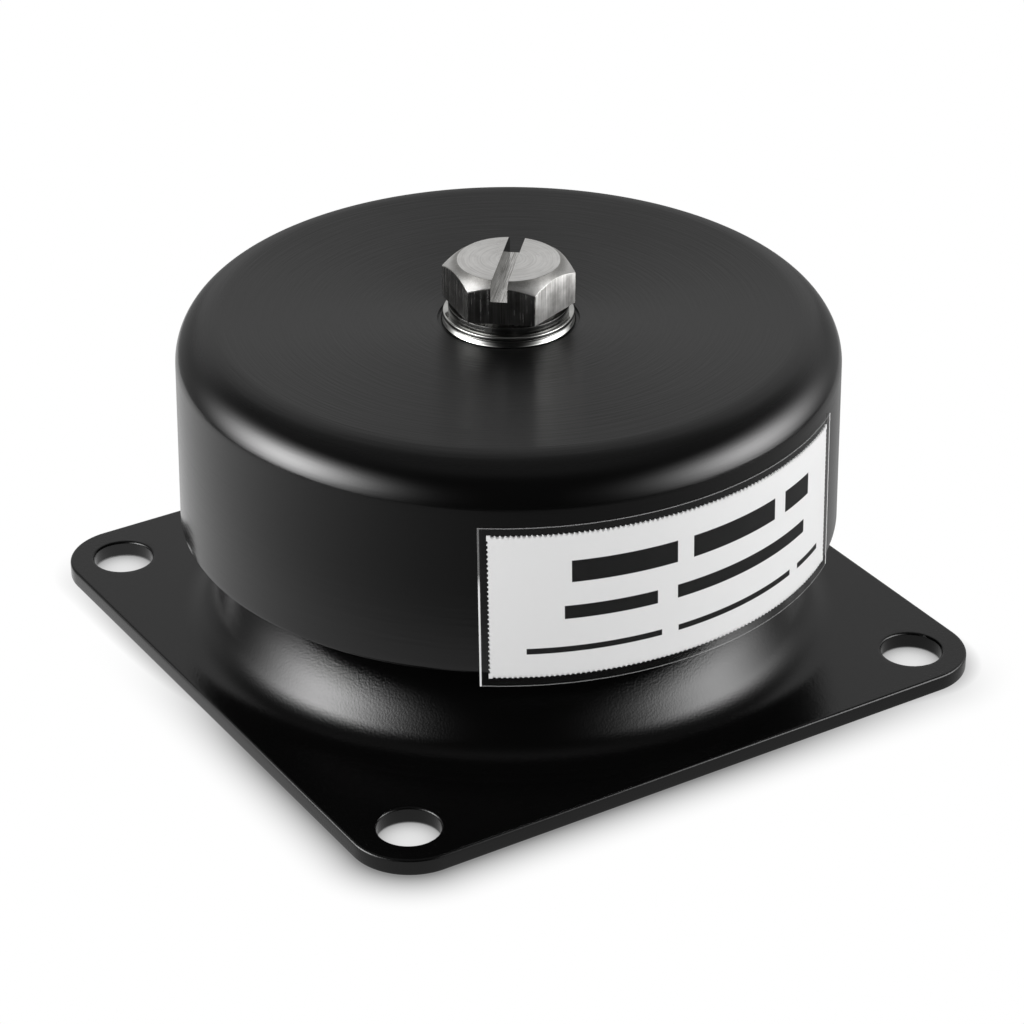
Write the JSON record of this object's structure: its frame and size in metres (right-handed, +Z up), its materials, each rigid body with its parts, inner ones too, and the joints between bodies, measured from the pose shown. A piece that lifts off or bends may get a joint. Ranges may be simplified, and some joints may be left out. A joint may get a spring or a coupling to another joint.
{
  "type": "rubber-metal anti-vibration mount",
  "caption": "Captive rubber-metal mount with a square drawn base, a flared bell, bonded rubber rings and a deep round cap clamped by a slotted hexagon screw.",
  "frame": {"origin": "centre of the square base, on its underside", "axes": "+Z up along the screw, from the base towards the cap; X and Y along the sides of the square base"},
  "size_m": [0.08, 0.08, 0.0464],
  "materials": {
    "base_paint": "fine-grained satin black",
    "cap_paint": "smooth satin black over fine turning marks",
    "rubber": "matt moulded rubber",
    "plated_steel": "dull zinc plate",
    "bright_steel": "bright, finely turned",
    "label_white": "smooth printed white",
    "clear_film": "clear gloss"
  },
  "bodies": {
    "root": {"base_plate": "base_paint", "load_ring": "rubber", "rebound_ring": "rubber", "core": "plated_steel", "rebound_washer": "plated_steel", "support_plate": "plated_steel", "cap": "cap_paint", "seat_washer": "bright_steel", "plain_washer": "bright_steel", "lock_washer": "bright_steel", "hex_screw": "bright_steel", "label": "label_white", "label_film": "clear_film"}
  },
  "joints": []
}
